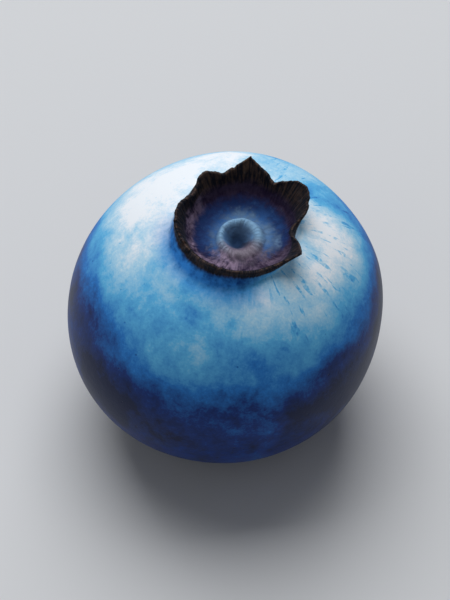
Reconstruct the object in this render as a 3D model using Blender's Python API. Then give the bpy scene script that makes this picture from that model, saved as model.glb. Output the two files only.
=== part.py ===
"""A ripe blueberry as picked, standing crown up on the flat spot round its stem scar.

Run it with Blender 4.5, from the command line or from the text editor. Lengths are in metres, +Z is up,
the berry rests on z = 0, and the origin is under the middle of its outer box.
The fruit is one closed body. Its outline is turned round the upright axis, and a few smooth rules then
bend the turned shape into one that grew: soft swellings and dents, a crown of lobes, and a slight lean.
"""

import math

import bmesh
import bpy
from mathutils import Vector

MM = 0.001

# The fruit: half its width, where it is widest, and how full its lower and upper halves are.
FRUIT_RADIUS = 7.98 * MM
WIDEST_HEIGHT = 7.0 * MM
LOWER_FULLNESS = 2.1
UPPER_FULLNESS = 2.14

# The stem end: how far the round outline would pass below the flat spot, how soft the edge of that
# spot is, and the dry pit that the stalk left in the middle of it.
SPOT_SAG = 0.36 * MM
SPOT_SOFTNESS = 0.1 * MM
SCAR_LIP_RADIUS = 1.2 * MM
SCAR_FLOOR_RADIUS = 0.86 * MM
SCAR_DEPTH = 0.6 * MM
SCAR_PLUG_RISE = 0.16 * MM

# The crown: a collar that stands round the blossom end, from its foot to the notches of its rim.
COLLAR_FOOT_RADIUS = 3.3 * MM
COLLAR_FOOT_HEIGHT = 13.95 * MM
RIM_RADIUS = 3.12 * MM
RIM_HEIGHT = 14.5 * MM
RIM_WALL = 0.3 * MM
RIM_CREST = 0.08 * MM
# The rim and the bowl lie a little further over to one side than the collar's foot does.
RIM_SHIFT = 0.3 * MM
# On one side the foot of the collar spreads onto the skin: which way that side faces, how far round
# it reaches each way, how far the foot stands out and drops there, and how far over the skin it fades.
FLARE_FACING = -127.0
FLARE_HALF_WIDTH = 72.0
FLARE_OUT = 0.45 * MM
FLARE_DROP = 0.1 * MM
FLARE_REACH = 1.7 * MM
# On another side the rim is pinched in: which way it faces, how far round it reaches, and how far in.
PINCH_FACING = -11.0
PINCH_HALF_WIDTH = 26.0
PINCH_IN = 0.42 * MM

# The bowl inside the crown, the raised ring on its floor, and the pit that the style left.
BOWL_FLOOR_RADIUS = 1.6 * MM
BOWL_FLOOR_HEIGHT = 13.2 * MM
RING_RADIUS = 0.96 * MM
RING_HALF_WIDTH = 0.38 * MM
RING_RISE = 0.3 * MM
PIT_RADIUS = 0.58 * MM
PIT_DEPTH = 0.5 * MM

# The dry lobes on the rim. Each row gives where a lobe points, how far its tip is past the notches,
# how far it leans out, half its width at the foot, and how full it is: 1 has straight sides.
LOBES = (
    # degrees, metres, degrees, degrees, fullness
    (82.0, 0.96 * MM, 28.0, 34.0, 0.8),
    (28.0, 0.97 * MM, 38.0, 33.0, 1.7),
    (-37.0, 0.95 * MM, 42.0, 27.0, 0.95),
    (-110.0, 0.55 * MM, 16.0, 44.0, 1.3),
    (178.0, 0.75 * MM, 20.0, 42.0, 1.4),
    (124.0, 0.6 * MM, 32.0, 24.0, 1.4),
)
# Above 1, the notches between the lobes are rounded.
NOTCH_SOFTNESS = 1.25

# The crown sits a little to one side of the axis, and the fruit leans that way above this height.
CROWN_SHIFT = 0.6 * MM
LEAN_FROM_HEIGHT = 5.0 * MM

# Broad swellings round the fruit. Each row gives how many there are, how high each is as a share of the
# radius, which way the first one points, and how far it turns over the fruit's height.
SWELLINGS = (
    # count, share, degrees, degrees
    (2, 0.004, 20.0, 15.0),
    (3, 0.004, -35.0, 25.0),
    (5, 0.003, 12.0, 0.0),
)
SWELL_FROM_HEIGHT = 0.4 * MM
SWELL_FULL_HEIGHT = 4.0 * MM
SWELL_FADE_HEIGHT = 12.6 * MM

# Shallow dents in the skin. Each row gives the way it faces, its height, its depth and its reach.
DENTS = (
    # degrees, metres, metres, metres
    (-62.0, 5.2 * MM, 0.11 * MM, 3.6 * MM),
    (38.0, 9.2 * MM, 0.13 * MM, 4.0 * MM),
    (141.0, 4.6 * MM, 0.14 * MM, 4.2 * MM),
    (-151.0, 9.8 * MM, 0.1 * MM, 3.4 * MM),
)

# How finely the outline is drawn.
SIDES = 70
PLUG_RINGS = 3
SCAR_WALL_RINGS = 4
LOWER_RINGS = 14
UPPER_RINGS = 11
COLLAR_RINGS = 6
BOWL_RINGS = 7
RIDGE_RINGS = 6
PIT_RINGS = 3
QUARTER_TURN = math.tau / 4.0
MERGE_DISTANCE = 0.001 * MM
SHARP_ANGLE = math.radians(50.0)

SKIN_COLOUR = (0.045, 0.105, 0.26, 1.0)
SKIN_ROUGHNESS = 0.52


def smooth_step(low, high, value):
    """Gives 0 up to low, 1 from high on, and an even S between them."""
    share = min(max((value - low) / (high - low), 0.0), 1.0)
    return share * share * (3.0 - 2.0 * share)


def outline_angle(radius, fullness):
    """The angle on the fruit's round outline where it is this far from the axis, 0 at its widest."""
    return math.acos((radius / FRUIT_RADIUS) ** (fullness / 2.0))


def rounded(angle, fullness):
    """How far a point of the round outline is from the axis and from the widest height, as shares."""
    power = 2.0 / fullness
    return math.cos(angle) ** power, math.sin(angle) ** power


def settled(height):
    """A skin point's height, once the bottom of the fruit is flat where it would sag below z = 0."""
    if height >= SPOT_SOFTNESS:
        return height
    if height <= -SPOT_SOFTNESS:
        return 0.0
    return (height + SPOT_SOFTNESS) ** 2 / (4.0 * SPOT_SOFTNESS)


def scar_points():
    """The dry pit at the stem end: its domed plug, and its wall out to just short of its rounded lip."""
    points = []
    for step in range(PLUG_RINGS):
        share = step / PLUG_RINGS
        height = SCAR_DEPTH - SCAR_PLUG_RISE * (1.0 - share**2)
        points.append((SCAR_FLOOR_RADIUS * share, height))
    for step in range(SCAR_WALL_RINGS):
        angle = QUARTER_TURN * step / SCAR_WALL_RINGS
        out = SCAR_LIP_RADIUS - (SCAR_LIP_RADIUS - SCAR_FLOOR_RADIUS) * math.cos(angle)
        points.append((out, SCAR_DEPTH * (1.0 - math.sin(angle))))
    return points


def lower_points():
    """The lower half of the skin, from the lip of the scar out to just below the widest height."""
    lip_angle = outline_angle(SCAR_LIP_RADIUS, LOWER_FULLNESS)
    points = []
    for step in range(LOWER_RINGS):
        out, down = rounded(lip_angle * (1.0 - step / LOWER_RINGS), LOWER_FULLNESS)
        height = WIDEST_HEIGHT - (WIDEST_HEIGHT + SPOT_SAG) * down
        points.append((FRUIT_RADIUS * out, settled(height)))
    return points


def upper_points():
    """The upper half of the skin, from the widest height up to the foot of the collar."""
    foot_angle = outline_angle(COLLAR_FOOT_RADIUS, UPPER_FULLNESS)
    rise = (COLLAR_FOOT_HEIGHT - WIDEST_HEIGHT) / rounded(foot_angle, UPPER_FULLNESS)[1]
    points = []
    for step in range(UPPER_RINGS + 1):
        out, up = rounded(foot_angle * step / UPPER_RINGS, UPPER_FULLNESS)
        points.append((FRUIT_RADIUS * out, WIDEST_HEIGHT + rise * up))
    return points


def collar_points():
    """The outside of the collar, from just above its foot to the outer edge of its rim."""
    points = []
    for step in range(1, COLLAR_RINGS + 1):
        share = math.sqrt(step / COLLAR_RINGS)
        out = COLLAR_FOOT_RADIUS + (RIM_RADIUS - COLLAR_FOOT_RADIUS) * math.sqrt(share)
        points.append((out, COLLAR_FOOT_HEIGHT + (RIM_HEIGHT - COLLAR_FOOT_HEIGHT) * share))
    points.append((RIM_RADIUS - RIM_WALL / 2.0, RIM_HEIGHT + RIM_CREST))
    return points


def bowl_points():
    """The inside of the bowl, from the inner edge of the rim down to the edge of its floor."""
    points = []
    inner_radius = RIM_RADIUS - RIM_WALL
    for step in range(BOWL_RINGS + 1):
        angle = QUARTER_TURN * step / BOWL_RINGS
        out = BOWL_FLOOR_RADIUS + (inner_radius - BOWL_FLOOR_RADIUS) * math.cos(angle)
        points.append((out, RIM_HEIGHT - (RIM_HEIGHT - BOWL_FLOOR_HEIGHT) * math.sin(angle)))
    return points


def ridge_points():
    """The raised ring on the floor of the bowl, and the rounded style pit inside it, in to the axis."""
    points = []
    start = RING_RADIUS + RING_HALF_WIDTH
    for step in range(RIDGE_RINGS):
        out = start + (PIT_RADIUS - start) * step / RIDGE_RINGS
        crest = math.cos(math.pi * (out - RING_RADIUS) / RING_HALF_WIDTH)
        points.append((out, BOWL_FLOOR_HEIGHT + RING_RISE * (1.0 + crest) / 2.0))
    for step in range(PIT_RINGS + 1):
        angle = QUARTER_TURN * step / PIT_RINGS
        points.append((PIT_RADIUS * math.cos(angle), BOWL_FLOOR_HEIGHT - PIT_DEPTH * math.sin(angle)))
    return points


def swelling(turn, height):
    """How much further out the skin is at this place than the turned shape, as a share."""
    total = 0.0
    for count, share, first, twist in SWELLINGS:
        angle = turn - math.radians(first + twist * height / RIM_HEIGHT)
        total += share * math.cos(count * angle)
    grows = smooth_step(SWELL_FROM_HEIGHT, SWELL_FULL_HEIGHT, height)
    fades = 1.0 - smooth_step(SWELL_FADE_HEIGHT, COLLAR_FOOT_HEIGHT, height)
    return total * grows * fades


def dent_depth(place):
    """How far the skin is pressed in at this place of the turned shape."""
    total = 0.0
    for facing, height, depth, reach in DENTS:
        angle = math.radians(facing)
        centre = Vector((FRUIT_RADIUS * math.cos(angle), FRUIT_RADIUS * math.sin(angle), height))
        share = min((place - centre).length / reach, 1.0)
        total += depth * (1.0 - share * share) ** 2
    return total


def foot_flare(turn, out, height):
    """How much of the spread of the collar's foot this place of the outside has, from 0 to 1."""
    apart = abs(math.degrees(math.remainder(turn - math.radians(FLARE_FACING), math.tau)))
    share = 1.0 - min(apart / FLARE_HALF_WIDTH, 1.0) ** 2
    above_skin = 1.0 - smooth_step(COLLAR_FOOT_HEIGHT, RIM_HEIGHT, height)
    near_foot = 1.0 - smooth_step(COLLAR_FOOT_RADIUS, COLLAR_FOOT_RADIUS + FLARE_REACH, out)
    return share * share * above_skin * near_foot


def pinch(turn):
    """How much of the pinch in the rim this turn has, from 0 to 1."""
    apart = abs(math.degrees(math.remainder(turn - math.radians(PINCH_FACING), math.tau)))
    return (1.0 - min(apart / PINCH_HALF_WIDTH, 1.0) ** 2) ** 2


def lobe_at(turn):
    """How far the rim reaches past the notches at this turn, and the angle it leans out by there."""
    reaches = []
    for facing, reach, lean, half_width, fullness in LOBES:
        apart = abs(math.degrees(math.remainder(turn - math.radians(facing), math.tau)))
        share = (1.0 - min(apart / half_width, 1.0) ** fullness) ** NOTCH_SOFTNESS
        reaches.append((reach * share, math.radians(lean)))
    total = sum(reach for reach, lean in reaches)
    if total == 0.0:
        return 0.0, 0.0
    return max(reaches)[0], sum(reach * lean for reach, lean in reaches) / total


def grown(place):
    """Where a point of the turned shape lies on the fruit that grew."""
    turn = math.atan2(place.y, place.x)
    turned_out = math.hypot(place.x, place.y)
    height = place.z
    out = turned_out * (1.0 + swelling(turn, height)) - dent_depth(place)
    up_collar = (height - COLLAR_FOOT_HEIGHT) / (RIM_HEIGHT - COLLAR_FOOT_HEIGHT)
    up_collar = min(max(up_collar, 0.0), 1.0)
    reach, lean = lobe_at(turn)
    out += reach * up_collar**2 * math.sin(lean) - PINCH_IN * pinch(turn) * up_collar
    height += reach * up_collar**2 * math.cos(lean)
    side = CROWN_SHIFT * smooth_step(LEAN_FROM_HEIGHT, RIM_HEIGHT, place.z)
    if place.z > WIDEST_HEIGHT:
        if turned_out < RIM_RADIUS - RIM_WALL / 2.0:
            side += RIM_SHIFT
        else:
            flare = foot_flare(turn, turned_out, place.z)
            out += FLARE_OUT * flare
            height -= FLARE_DROP * flare
            side += RIM_SHIFT * up_collar
    return Vector((out * math.cos(turn) + side, out * math.sin(turn), height))


def turned_body():
    """A closed mesh of the whole outline turned once round the upright axis."""
    outline = scar_points() + lower_points() + upper_points()
    outline += collar_points() + bowl_points() + ridge_points()
    body = bmesh.new()
    corners = [body.verts.new((out, 0.0, height)) for out, height in outline]
    edges = [body.edges.new(pair) for pair in zip(corners, corners[1:])]
    bmesh.ops.spin(
        body,
        geom=corners + edges,
        cent=(0.0, 0.0, 0.0),
        axis=(0.0, 0.0, 1.0),
        angle=math.tau,
        steps=SIDES,
        use_merge=True,
        use_duplicate=False,
    )
    bmesh.ops.remove_doubles(body, verts=body.verts, dist=MERGE_DISTANCE)
    bmesh.ops.recalc_face_normals(body, faces=body.faces)
    return body


def skin_material():
    """The blue skin under its pale bloom, as one plain colour."""
    material = bpy.data.materials.new("blueberry_skin")
    material.use_nodes = True
    shader = material.node_tree.nodes["Principled BSDF"]
    shader.inputs["Base Color"].default_value = SKIN_COLOUR
    shader.inputs["Roughness"].default_value = SKIN_ROUGHNESS
    shader.inputs["Metallic"].default_value = 0.0
    material.diffuse_color = SKIN_COLOUR
    return material


def make_blueberry():
    """The fruit as one object, centred over the origin and standing on z = 0."""
    body = turned_body()
    for corner in body.verts:
        corner.co = grown(corner.co)
    middle = [
        (min(c.co[axis] for c in body.verts) + max(c.co[axis] for c in body.verts)) / 2.0
        for axis in (0, 1)
    ]
    bmesh.ops.translate(body, verts=body.verts, vec=(-middle[0], -middle[1], 0.0))
    mesh = bpy.data.meshes.new("blueberry")
    body.to_mesh(mesh)
    body.free()
    mesh.shade_smooth()
    mesh.set_sharp_from_angle(angle=SHARP_ANGLE)
    mesh.materials.append(skin_material())
    blueberry = bpy.data.objects.new("blueberry", mesh)
    bpy.context.scene.collection.objects.link(blueberry)
    return blueberry


for leftover in list(bpy.data.objects):
    bpy.data.objects.remove(leftover)
make_blueberry()
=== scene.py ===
"""A ripe blueberry with its looks: waxy bloom over dark skin, a dry crown, the bowl in it and a stem scar.

Run it with Blender 4.5 as a script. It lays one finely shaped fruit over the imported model, in the same
frame: metres, +Z up, the berry standing on z = 0. The same outline as the solid's is turned round the
upright axis, and a few rules bend it into a fruit that grew, with the folds, tears and lumps of a real one.
"""

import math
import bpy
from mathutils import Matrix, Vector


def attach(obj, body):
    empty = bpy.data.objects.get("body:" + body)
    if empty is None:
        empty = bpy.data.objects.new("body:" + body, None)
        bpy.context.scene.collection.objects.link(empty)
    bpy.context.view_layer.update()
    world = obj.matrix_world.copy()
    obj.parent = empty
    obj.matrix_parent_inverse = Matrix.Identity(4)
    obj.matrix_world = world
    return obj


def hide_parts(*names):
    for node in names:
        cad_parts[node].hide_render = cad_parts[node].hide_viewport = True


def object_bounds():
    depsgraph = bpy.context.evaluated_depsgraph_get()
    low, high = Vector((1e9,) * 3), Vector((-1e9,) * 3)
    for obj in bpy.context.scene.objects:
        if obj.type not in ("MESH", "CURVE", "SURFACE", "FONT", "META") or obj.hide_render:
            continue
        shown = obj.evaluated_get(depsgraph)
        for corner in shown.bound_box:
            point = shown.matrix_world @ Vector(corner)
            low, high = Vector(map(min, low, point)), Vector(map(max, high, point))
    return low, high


bl_info = {
    "name": "Blueberry",
    "version": (1, 0, 0),
    "blender": (4, 5, 0),
    "location": "3D View > Sidebar > Blueberry",
    "description": "Makes a ripe blueberry with its bloom, dry crown and stem scar, and a stage for it",
    "category": "Add Mesh",
}

import bmesh
import bpy
from bpy.props import FloatProperty, FloatVectorProperty, IntProperty, PointerProperty
from mathutils import Matrix, Vector, noise

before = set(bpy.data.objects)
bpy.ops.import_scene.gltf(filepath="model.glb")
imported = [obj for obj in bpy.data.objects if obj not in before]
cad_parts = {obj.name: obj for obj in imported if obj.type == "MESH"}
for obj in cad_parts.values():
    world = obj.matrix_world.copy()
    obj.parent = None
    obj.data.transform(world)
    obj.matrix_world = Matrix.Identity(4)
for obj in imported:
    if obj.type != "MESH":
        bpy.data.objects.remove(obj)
SOLID_LOW, SOLID_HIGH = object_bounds()

MM = 0.001
QUARTER_TURN = math.tau / 4.0
MERGE_DISTANCE = 0.0005 * MM

# The dry lobes on the rim. Each row gives where a lobe points, how far its tip is past the notches,
# how far it leans out, half its width at the foot, and how full it is: 1 has straight sides.
LOBES = (
    # degrees, metres, degrees, degrees, fullness
    (82.0, 0.96 * MM, 28.0, 34.0, 0.8),
    (28.0, 0.97 * MM, 38.0, 33.0, 1.7),
    (-37.0, 0.95 * MM, 42.0, 27.0, 0.95),
    (-110.0, 0.55 * MM, 16.0, 44.0, 1.3),
    (178.0, 0.75 * MM, 20.0, 42.0, 1.4),
    (124.0, 0.6 * MM, 32.0, 24.0, 1.4),
)
NOTCH_SOFTNESS = 1.25

# Broad swellings round the fruit. Each row gives how many there are, how high each is as a share of the
# radius, which way the first one points, and how far it turns over the fruit's height.
SWELLINGS = (
    # count, share, degrees, degrees
    (2, 0.004, 20.0, 15.0),
    (3, 0.004, -35.0, 25.0),
    (5, 0.003, 12.0, 0.0),
)

# Shallow dents in the skin. Each row gives the way it faces, its height, its depth and its reach.
DENTS = (
    # degrees, metres, metres, metres
    (-62.0, 5.2 * MM, 0.11 * MM, 3.6 * MM),
    (38.0, 9.2 * MM, 0.13 * MM, 4.0 * MM),
    (141.0, 4.6 * MM, 0.14 * MM, 4.2 * MM),
    (-151.0, 9.8 * MM, 0.1 * MM, 3.4 * MM),
)

# Where the bloom lies thicker (above 0) or has been rubbed thin (below 0), with painted light among the
# rows:
# some rows high on the back and left add a painted highlight, and two at mid height on the far left and
# right take bloom off as painted shade at the sides. Each row gives the way the patch faces, its height,
# how far it reaches, and how much it adds.
BLOOM_DRIFTS_AND_PAINTED_LIGHT = (
    # degrees, metres, metres, share
    # These three rows high on the left and back are partly a painted highlight: the pale shoulder by the
    # crown.
    (168.0, 13.2 * MM, 5.2 * MM, 0.3),
    (130.0, 12.6 * MM, 4.6 * MM, 0.2),
    (85.0, 12.8 * MM, 5.0 * MM, 0.28),
    (2.0, 13.0 * MM, 4.0 * MM, 0.2),
    (-38.0, 13.3 * MM, 3.0 * MM, 0.16),
    (-139.0, 8.0 * MM, 4.2 * MM, -0.12),
    (-42.0, 8.0 * MM, 4.0 * MM, -0.1),
    (20.0, 3.6 * MM, 4.4 * MM, -0.1),
    (118.0, 6.4 * MM, 3.6 * MM, -0.14),
    (-95.0, 4.0 * MM, 3.4 * MM, 0.1),
    (58.0, 8.4 * MM, 3.8 * MM, 0.1),
    # This row and the next take bloom off at mid height on the far left and right, as painted shade at the
    # sides.
    (-172.0, 9.4 * MM, 3.4 * MM, -0.12),
    (-8.0, 9.0 * MM, 3.4 * MM, -0.12),
    (95.0, 6.2 * MM, 5.4 * MM, 0.2),
    (155.0, 5.0 * MM, 3.6 * MM, 0.16),
    (36.0, 5.0 * MM, 4.0 * MM, 0.18),
    (-12.0, 5.4 * MM, 2.6 * MM, 0.12),
    (-168.0, 4.8 * MM, 3.0 * MM, 0.14),
    (-66.0, 2.6 * MM, 2.4 * MM, 0.08),
    (-80.0, 13.5 * MM, 2.2 * MM, 0.16),
    (-88.0, 8.6 * MM, 3.0 * MM, -0.07),
    (138.0, 10.5 * MM, 3.6 * MM, 0.2),
    (96.0, 11.4 * MM, 3.0 * MM, 0.12),
    (48.0, 11.0 * MM, 3.0 * MM, 0.12),
)

# How many rings draw each stretch of the outline.
PLUG_RINGS = 20
SCAR_WALL_RINGS = 14
LOWER_RINGS = 56
UPPER_RINGS = 52
COLLAR_RINGS = 22
CREST_RINGS = 5
BOWL_RINGS = 34
RIDGE_RINGS = 14
PIT_RINGS = 26

# Soft noise that bends and roughens a form. Each row gives its share, how many waves it has once round the
# fruit, which layer of the noise it starts in, and how fast it passes to other layers along the form.
FOLD_WAVES = ((0.6, 22.0, 3.1, 0.8), (0.4, 52.0, 7.7, 1.0))
FRAY_WAVES = ((0.55, 34.0, 2.3, 0.0), (0.45, 95.0, 6.1, 0.0))
CHIP_WAVES = ((1.0, 38.0, 11.4, 0.0),)
CURL_WAVES = ((0.9, 7.0, 15.2, 0.0),)
PUCKER_WAVES = ((0.7, 30.0, 4.2, 0.0), (0.3, 75.0, 1.7, 1.0))
BOWL_WAVES = ((0.55, 19.0, 8.8, 0.4), (0.3, 44.0, 2.9, 0.6), (0.15, 100.0, 5.5, 1.5))
RING_WAVES = ((0.6, 5.0, 12.6, 0.0), (0.4, 17.0, 4.4, 0.0), (0.5, 46.0, 9.9, 0.0))
CRACK_WAVES = ((1.0, 9.0, 2.0, 0.8),)

# Soft noise through space. Each row gives its share, its waves in a millimetre, and its place in the noise.
LUMP_WAVES = ((0.6, 0.28, 3.7), (0.28, 0.75, 9.1), (0.12, 2.1, 5.3))
CORK_WAVES = ((0.6, 2.2, 1.3), (0.4, 5.0, 7.9))

# The marks that each point of the mesh keeps for its colours: how far inside the crown it is, how far down
# from the rim, how near the crest of the ring, the pit and the scar, and how its bloom drifts, with the
# painted highlight and shade that the drifts carry.
MARKS = ("inside", "depth", "ring", "pit", "scar", "drift")

LUMPS_FROM_HEIGHT = 0.2 * MM  # below this the skin has no lumps, so that the flat spot stays flat
LUMPS_FULL_HEIGHT = 1.6 * MM
CREST_HALF_WIDTH = 0.12 * MM  # half the width over which the outside of the rim becomes its inside
CHIP_SHARE = 0.8  # how deep a chip in the rim is, next to the fraying
NOTCH_TEAR = 0.3  # how much of a tear cuts down into a notch
KEEL_EDGE = 0.4  # how near a lobe's middle its keel starts to bulge
CURL_LEAN = 0.4  # how much more a tip curls out than in
CURL_DROP = 0.35  # how far a curled tip drops, next to how far it curls
RING_TILT = 0.9  # how much higher the ring is at the back than at the front
RING_SINK = 0.3  # how much lower the uneven ring is on the whole

# How thick the bloom is at each colour of the skin, from bare to white.
BLOOM_STOPS = (0.0, 0.18, 0.42, 0.64, 0.82, 1.0)
MARK_STRETCH = 0.08  # how fast a mark that runs down the fruit changes in each millimetre

BARE_ROUGHNESS = 0.42
BLOOM_ROUGHNESS = 0.68
CORK_ROUGHNESS = 0.88

# What is the same all over the fruit, under the shader's own names.
FRUIT_SURFACE = {
    "Metallic": 0.0,
    "IOR": 1.44,
    "Specular IOR Level": 0.2,
    "Specular Tint": (0.6, 0.78, 1.0),
    "Sheen Weight": 0.04,
    "Sheen Roughness": 0.45,
    "Sheen Tint": (0.45, 0.66, 1.0),
}

# The soft square lights. Each row gives a light's name and width, how high it stands, which way round it
# stands, and how far it is from the fruit.
LIGHTS = (
    # name, metres, degrees, degrees, metres
    ("key_light", 0.3, 60.0, 190.0, 0.34),
    ("fill_light", 0.4, 40.0, -38.0, 0.45),
)
ROOM_TINT = (0.93, 0.96, 1.0)  # colour of the even light from all round
NEAREST_SEEN = 0.01  # metres from the camera
FURTHEST_SEEN = 20.0


def length(label, value, note):
    """A size in metres that a user may change."""
    return FloatProperty(
        name=label, description=note, default=value, min=0.0, precision=5, subtype="DISTANCE", unit="LENGTH"
    )


def share(label, value, note):
    """A plain number that a user may change."""
    return FloatProperty(name=label, description=note, default=value, precision=3)


def plain_colour(code):
    """The linear red, green and blue of a colour written as on a paint card, such as 6db0d4."""
    parts = [int(code[first : first + 2], 16) / 255.0 for first in (0, 2, 4)]
    return [p / 12.92 if p <= 0.04045 else ((p + 0.055) / 1.055) ** 2.4 for p in parts]


def colour(label, code, note):
    """A colour that a user may change."""
    return FloatVectorProperty(
        name=label, description=note, default=plain_colour(code), size=3, min=0.0, max=1.0, subtype="COLOR"
    )


class FruitSizes(bpy.types.PropertyGroup):
    """The sizes of the fruit. The first ones are the solid's own."""

    fruit_radius: length("Fruit radius", 7.98 * MM, "Half the width of the fruit")
    widest_height: length("Widest height", 7.0 * MM, "Height at which the fruit is widest")
    lower_fullness: share("Lower fullness", 2.1, "How full the lower half is; 2 is round")
    upper_fullness: share("Upper fullness", 2.14, "How full the upper half is; 2 is round")
    spot_sag: length("Spot sag", 0.36 * MM, "How far the round outline would pass below the flat spot")
    spot_softness: length("Spot softness", 0.1 * MM, "How soft the edge of the flat spot is")
    scar_lip_radius: length("Scar lip radius", 1.2 * MM, "Radius of the lip of the stem scar")
    scar_floor_radius: length("Scar floor radius", 0.86 * MM, "Radius of the floor of the stem scar")
    scar_depth: length("Scar depth", 0.6 * MM, "Depth of the stem scar at the edge of its floor")
    scar_plug_rise: length("Scar plug rise", 0.16 * MM, "How far the plug in the scar bulges out")
    foot_radius: length("Collar foot radius", 3.3 * MM, "Radius where the collar stands on the skin")
    foot_height: length("Collar foot height", 13.95 * MM, "Height where the collar stands on the skin")
    rim_radius: length("Rim radius", 3.12 * MM, "Outer radius of the rim of the crown")
    rim_height: length("Rim height", 14.5 * MM, "Height of the notches between the lobes")
    rim_wall: length("Rim wall", 0.3 * MM, "Thickness of the collar at its rim")
    rim_crest: length("Rim crest", 0.08 * MM, "How far the rounded top of the rim rises")
    bowl_floor_radius: length("Bowl floor radius", 1.6 * MM, "Radius of the floor of the bowl")
    bowl_floor_height: length("Bowl floor height", 13.2 * MM, "Height of the floor of the bowl")
    ring_radius: length("Ring radius", 0.96 * MM, "Radius of the raised ring in the bowl")
    ring_half_width: length("Ring half width", 0.38 * MM, "Half the width of the raised ring")
    ring_rise: length("Ring rise", 0.3 * MM, "Height of the raised ring")
    pit_radius: length("Pit radius", 0.58 * MM, "Radius of the pit inside the ring")
    pit_depth: length("Pit depth", 0.5 * MM, "Depth of the pit inside the ring")
    rim_shift: length("Rim shift", 0.3 * MM, "How much further over the rim and the bowl lie than the foot")
    flare_facing: share("Flare facing", -127.0, "Which way the spread foot of the collar faces, in degrees")
    flare_half_width: share("Flare half width", 72.0, "How far round it reaches each way, in degrees")
    flare_out: length("Flare out", 0.45 * MM, "How far the foot stands out there")
    flare_drop: length("Flare drop", 0.1 * MM, "How far the foot drops there")
    flare_reach: length("Flare reach", 1.7 * MM, "How far over the skin the spread foot fades")
    pinch_facing: share("Pinch facing", -11.0, "Which way the pinched side of the rim faces, in degrees")
    pinch_half_width: share("Pinch half width", 26.0, "How far round the pinch reaches, in degrees")
    pinch_in: length("Pinch in", 0.42 * MM, "How far the rim is pinched in there")
    crown_shift: length("Crown shift", 0.6 * MM, "How far the crown sits to one side")
    lean_from_height: length("Lean from height", 5.0 * MM, "Height above which the fruit leans")
    swell_from_height: length("Swell from height", 0.4 * MM, "Height where the swellings start")
    swell_full_height: length("Swell full height", 4.0 * MM, "Height from which the swellings are full")
    swell_fade_height: length("Swell fade height", 12.6 * MM, "Height above which the swellings fade")
    tip_thinning: share("Tip thinning", 0.5, "How much thinner the lobes are at their tips")
    edge_tear: length("Edge tear", 0.22 * MM, "How deep the rim is torn and frayed")
    fold_depth: length("Fold depth", 0.11 * MM, "How deep the dry lobes are folded")
    tip_curl: length("Tip curl", 0.2 * MM, "How far the dry tips curl")
    keel_depth: length("Keel depth", 0.1 * MM, "How far the middle of each lobe bulges")
    bowl_folds: length("Bowl folds", 0.1 * MM, "How deep the wall of the bowl is folded")
    ring_unevenness: share("Ring unevenness", 0.38, "How uneven the raised ring is")
    pit_shift: length("Pit shift", 0.12 * MM, "How far the pit sits to one side of the ring")
    pucker_depth: length("Pucker depth", 0.05 * MM, "How deep the skin puckers round the collar")
    pucker_reach: length("Pucker reach", 1.5 * MM, "How far from the collar the skin puckers")
    skin_lumps: length("Skin lumps", 0.035 * MM, "How uneven the skin is")
    scar_roughness: length("Scar roughness", 0.09 * MM, "How rough the corky plug in the scar is")
    sides: IntProperty(name="Sides", description="How many faces run round the fruit", default=360, min=24)


class SkinColours(bpy.types.PropertyGroup):
    """The colours of the fruit, and how its bloom lies."""

    bare_skin: colour("Bare skin", "0c1740", "Skin where no bloom is left")
    thin_bloom: colour("Thin bloom", "16357c", "Skin under a thin film of bloom")
    even_bloom: colour("Even bloom", "2f7fd0", "Skin under an even coat of bloom")
    thick_bloom: colour("Thick bloom", "62baec", "Skin under a thick coat of bloom")
    pale_bloom: colour("Pale bloom", "addaf4", "Bloom that almost hides the skin")
    # Nearly white: the thickest bloom, and on the upper back and left a painted highlight.
    white_bloom_and_highlight: colour("White bloom", "f2f8ff", "Bloom at its thickest, close to the crown")
    stem_blush: colour("Stem blush", "2c1630", "Purple tint of the skin towards the stem end")
    # Deep blue of the collar's outside, and the painted shadow under its rim.
    collar_wall_and_shadow: colour("Collar wall", "0f4488", "Outside of the collar, below its dry edge")
    dry_edge: colour("Dry edge", "15141b", "The driest, darkest parts of the crown")
    dry_brown: colour("Dry brown", "4a3a30", "Paler brown parts of the dry crown")
    torn_edge: colour("Torn edge", "84675a", "The thin torn edge of the rim")
    inner_wall: colour("Inner wall", "281a34", "Maroon inside of the crown")
    # Pinkish patches inside the crown, partly a painted highlight on the left and front.
    inner_blush_and_highlight: colour("Inner blush", "9a86a0", "Pinkish patches on the inside of the crown")
    bowl_floor: colour("Bowl floor", "2c5a96", "Blue floor of the bowl")
    # Darker floor of the bowl, in patches and as painted shade towards the wall.
    bowl_shade: colour("Bowl shade", "1b2c5c", "Bare patches of the floor of the bowl")
    ring_bloom: colour("Ring bloom", "8fbbe0", "Pale bloom on the raised ring")
    # Pinkish front of the ring, partly a painted highlight.
    ring_blush_and_highlight: colour("Ring blush", "94848e", "Pinkish side of the raised ring")
    pit_dark: colour("Pit", "22385a", "Dark pit inside the ring")
    cork: colour("Cork", "b49a74", "Dry plug in the stem scar")
    cork_shade: colour("Cork shade", "7d6244", "Darker grain of the plug in the stem scar")
    # Dark brown of cracks and core, also the painted shade on the sunken wall of the stem scar.
    cork_crack_and_shade: colour("Cork crack", "38261a", "Cracks, core and wall of the stem scar")
    cork_lip: colour("Cork lip", "8d7a68", "Thin torn lip of the stem scar")
    # Bloom cover and bloom rise keep the bloom thin low down and thick by the crown: partly real, partly
    # painted light, pale on top and dark towards the bottom.
    bloom_cover: share("Bloom cover", 0.08, "How much bloom lies on the lower half of the fruit")
    bloom_rise_and_painted_light: share("Bloom rise", 0.65, "How much more bloom lies close to the crown")


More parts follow.
